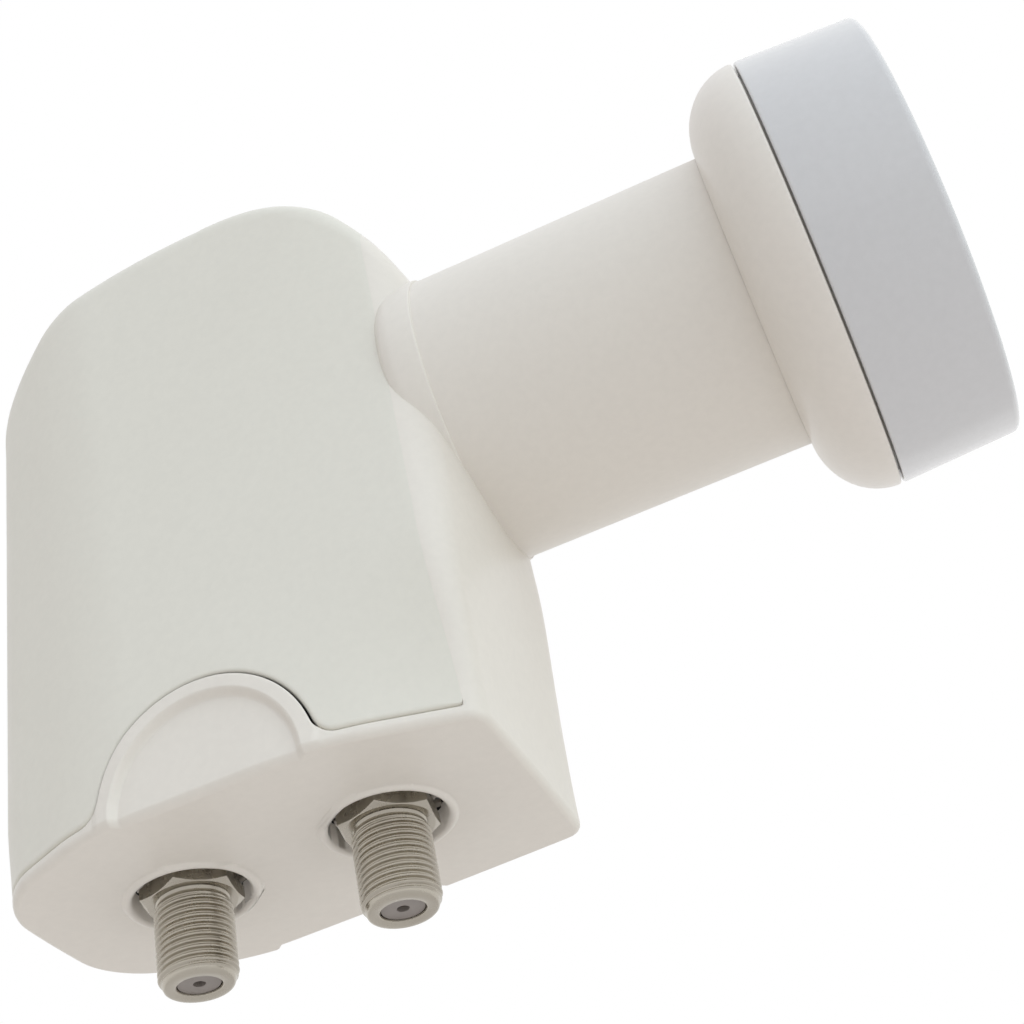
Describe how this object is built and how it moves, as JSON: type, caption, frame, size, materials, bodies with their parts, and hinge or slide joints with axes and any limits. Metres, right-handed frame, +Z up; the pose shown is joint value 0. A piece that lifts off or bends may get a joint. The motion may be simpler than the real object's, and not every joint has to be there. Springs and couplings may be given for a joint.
{
  "type": "satellite lnb",
  "caption": "Off-white satellite LNB: upright housing with ports below, and a clamp neck that carries a round feed cap.",
  "frame": {"origin": "on the neck axis, in the middle of the clamp zone between the housing and the feed cap", "axes": "+X along the neck toward the feed cap, +Z up, away from the ports, +Y to the side away from the camera of the picture"},
  "size_m": [0.1341, 0.0582, 0.104],
  "materials": {
    "body_plastic": "fine satin, warm off-white",
    "cover_plastic": "fine satin, off-white with a green-grey cast",
    "shell_plastic": "semi-gloss cream white",
    "cap_plastic": "glossy cool white, lets microwaves through",
    "seal_rubber": "matte black",
    "cast_metal": "die-cast, satin",
    "screw_steel": "zinc plated",
    "contact_brass": "gold flash",
    "puck_ceramic": "fired, matte",
    "board": "solder mask",
    "chip": "moulded package",
    "absorber": "foam",
    "port_nickel": "nickel plated brass, slightly dull and warm",
    "port_washer": "plated spring steel",
    "port_insert": "dark moulded insulator"
  },
  "bodies": {
    "root": {"front_body": "body_plastic", "rear_cover": "cover_plastic", "horn_shell": "shell_plastic", "horn_cap": "cap_plastic", "cap_seal": "seal_rubber", "feed_horn": "cast_metal", "feed_seal": "seal_rubber", "feed_screws": "screw_steel", "neck_spacer": "body_plastic", "chassis": "cast_metal", "chassis_lid": "cast_metal", "lid_gasket": "seal_rubber", "lid_screws": "screw_steel", "circuit_board": "board", "board_screws": "screw_steel", "probe_pins": "contact_brass", "resonator_pucks": "puck_ceramic", "tuning_screws": "contact_brass", "mixer_chip": "chip", "output_chips": "chip", "absorber_pad": "absorber", "port_barrels": "port_nickel", "port_insulators": "port_insert", "port_contacts": "contact_brass", "port_gaskets": "seal_rubber", "port_washers": "port_washer", "port_nuts": "port_nickel"}
  },
  "joints": []
}
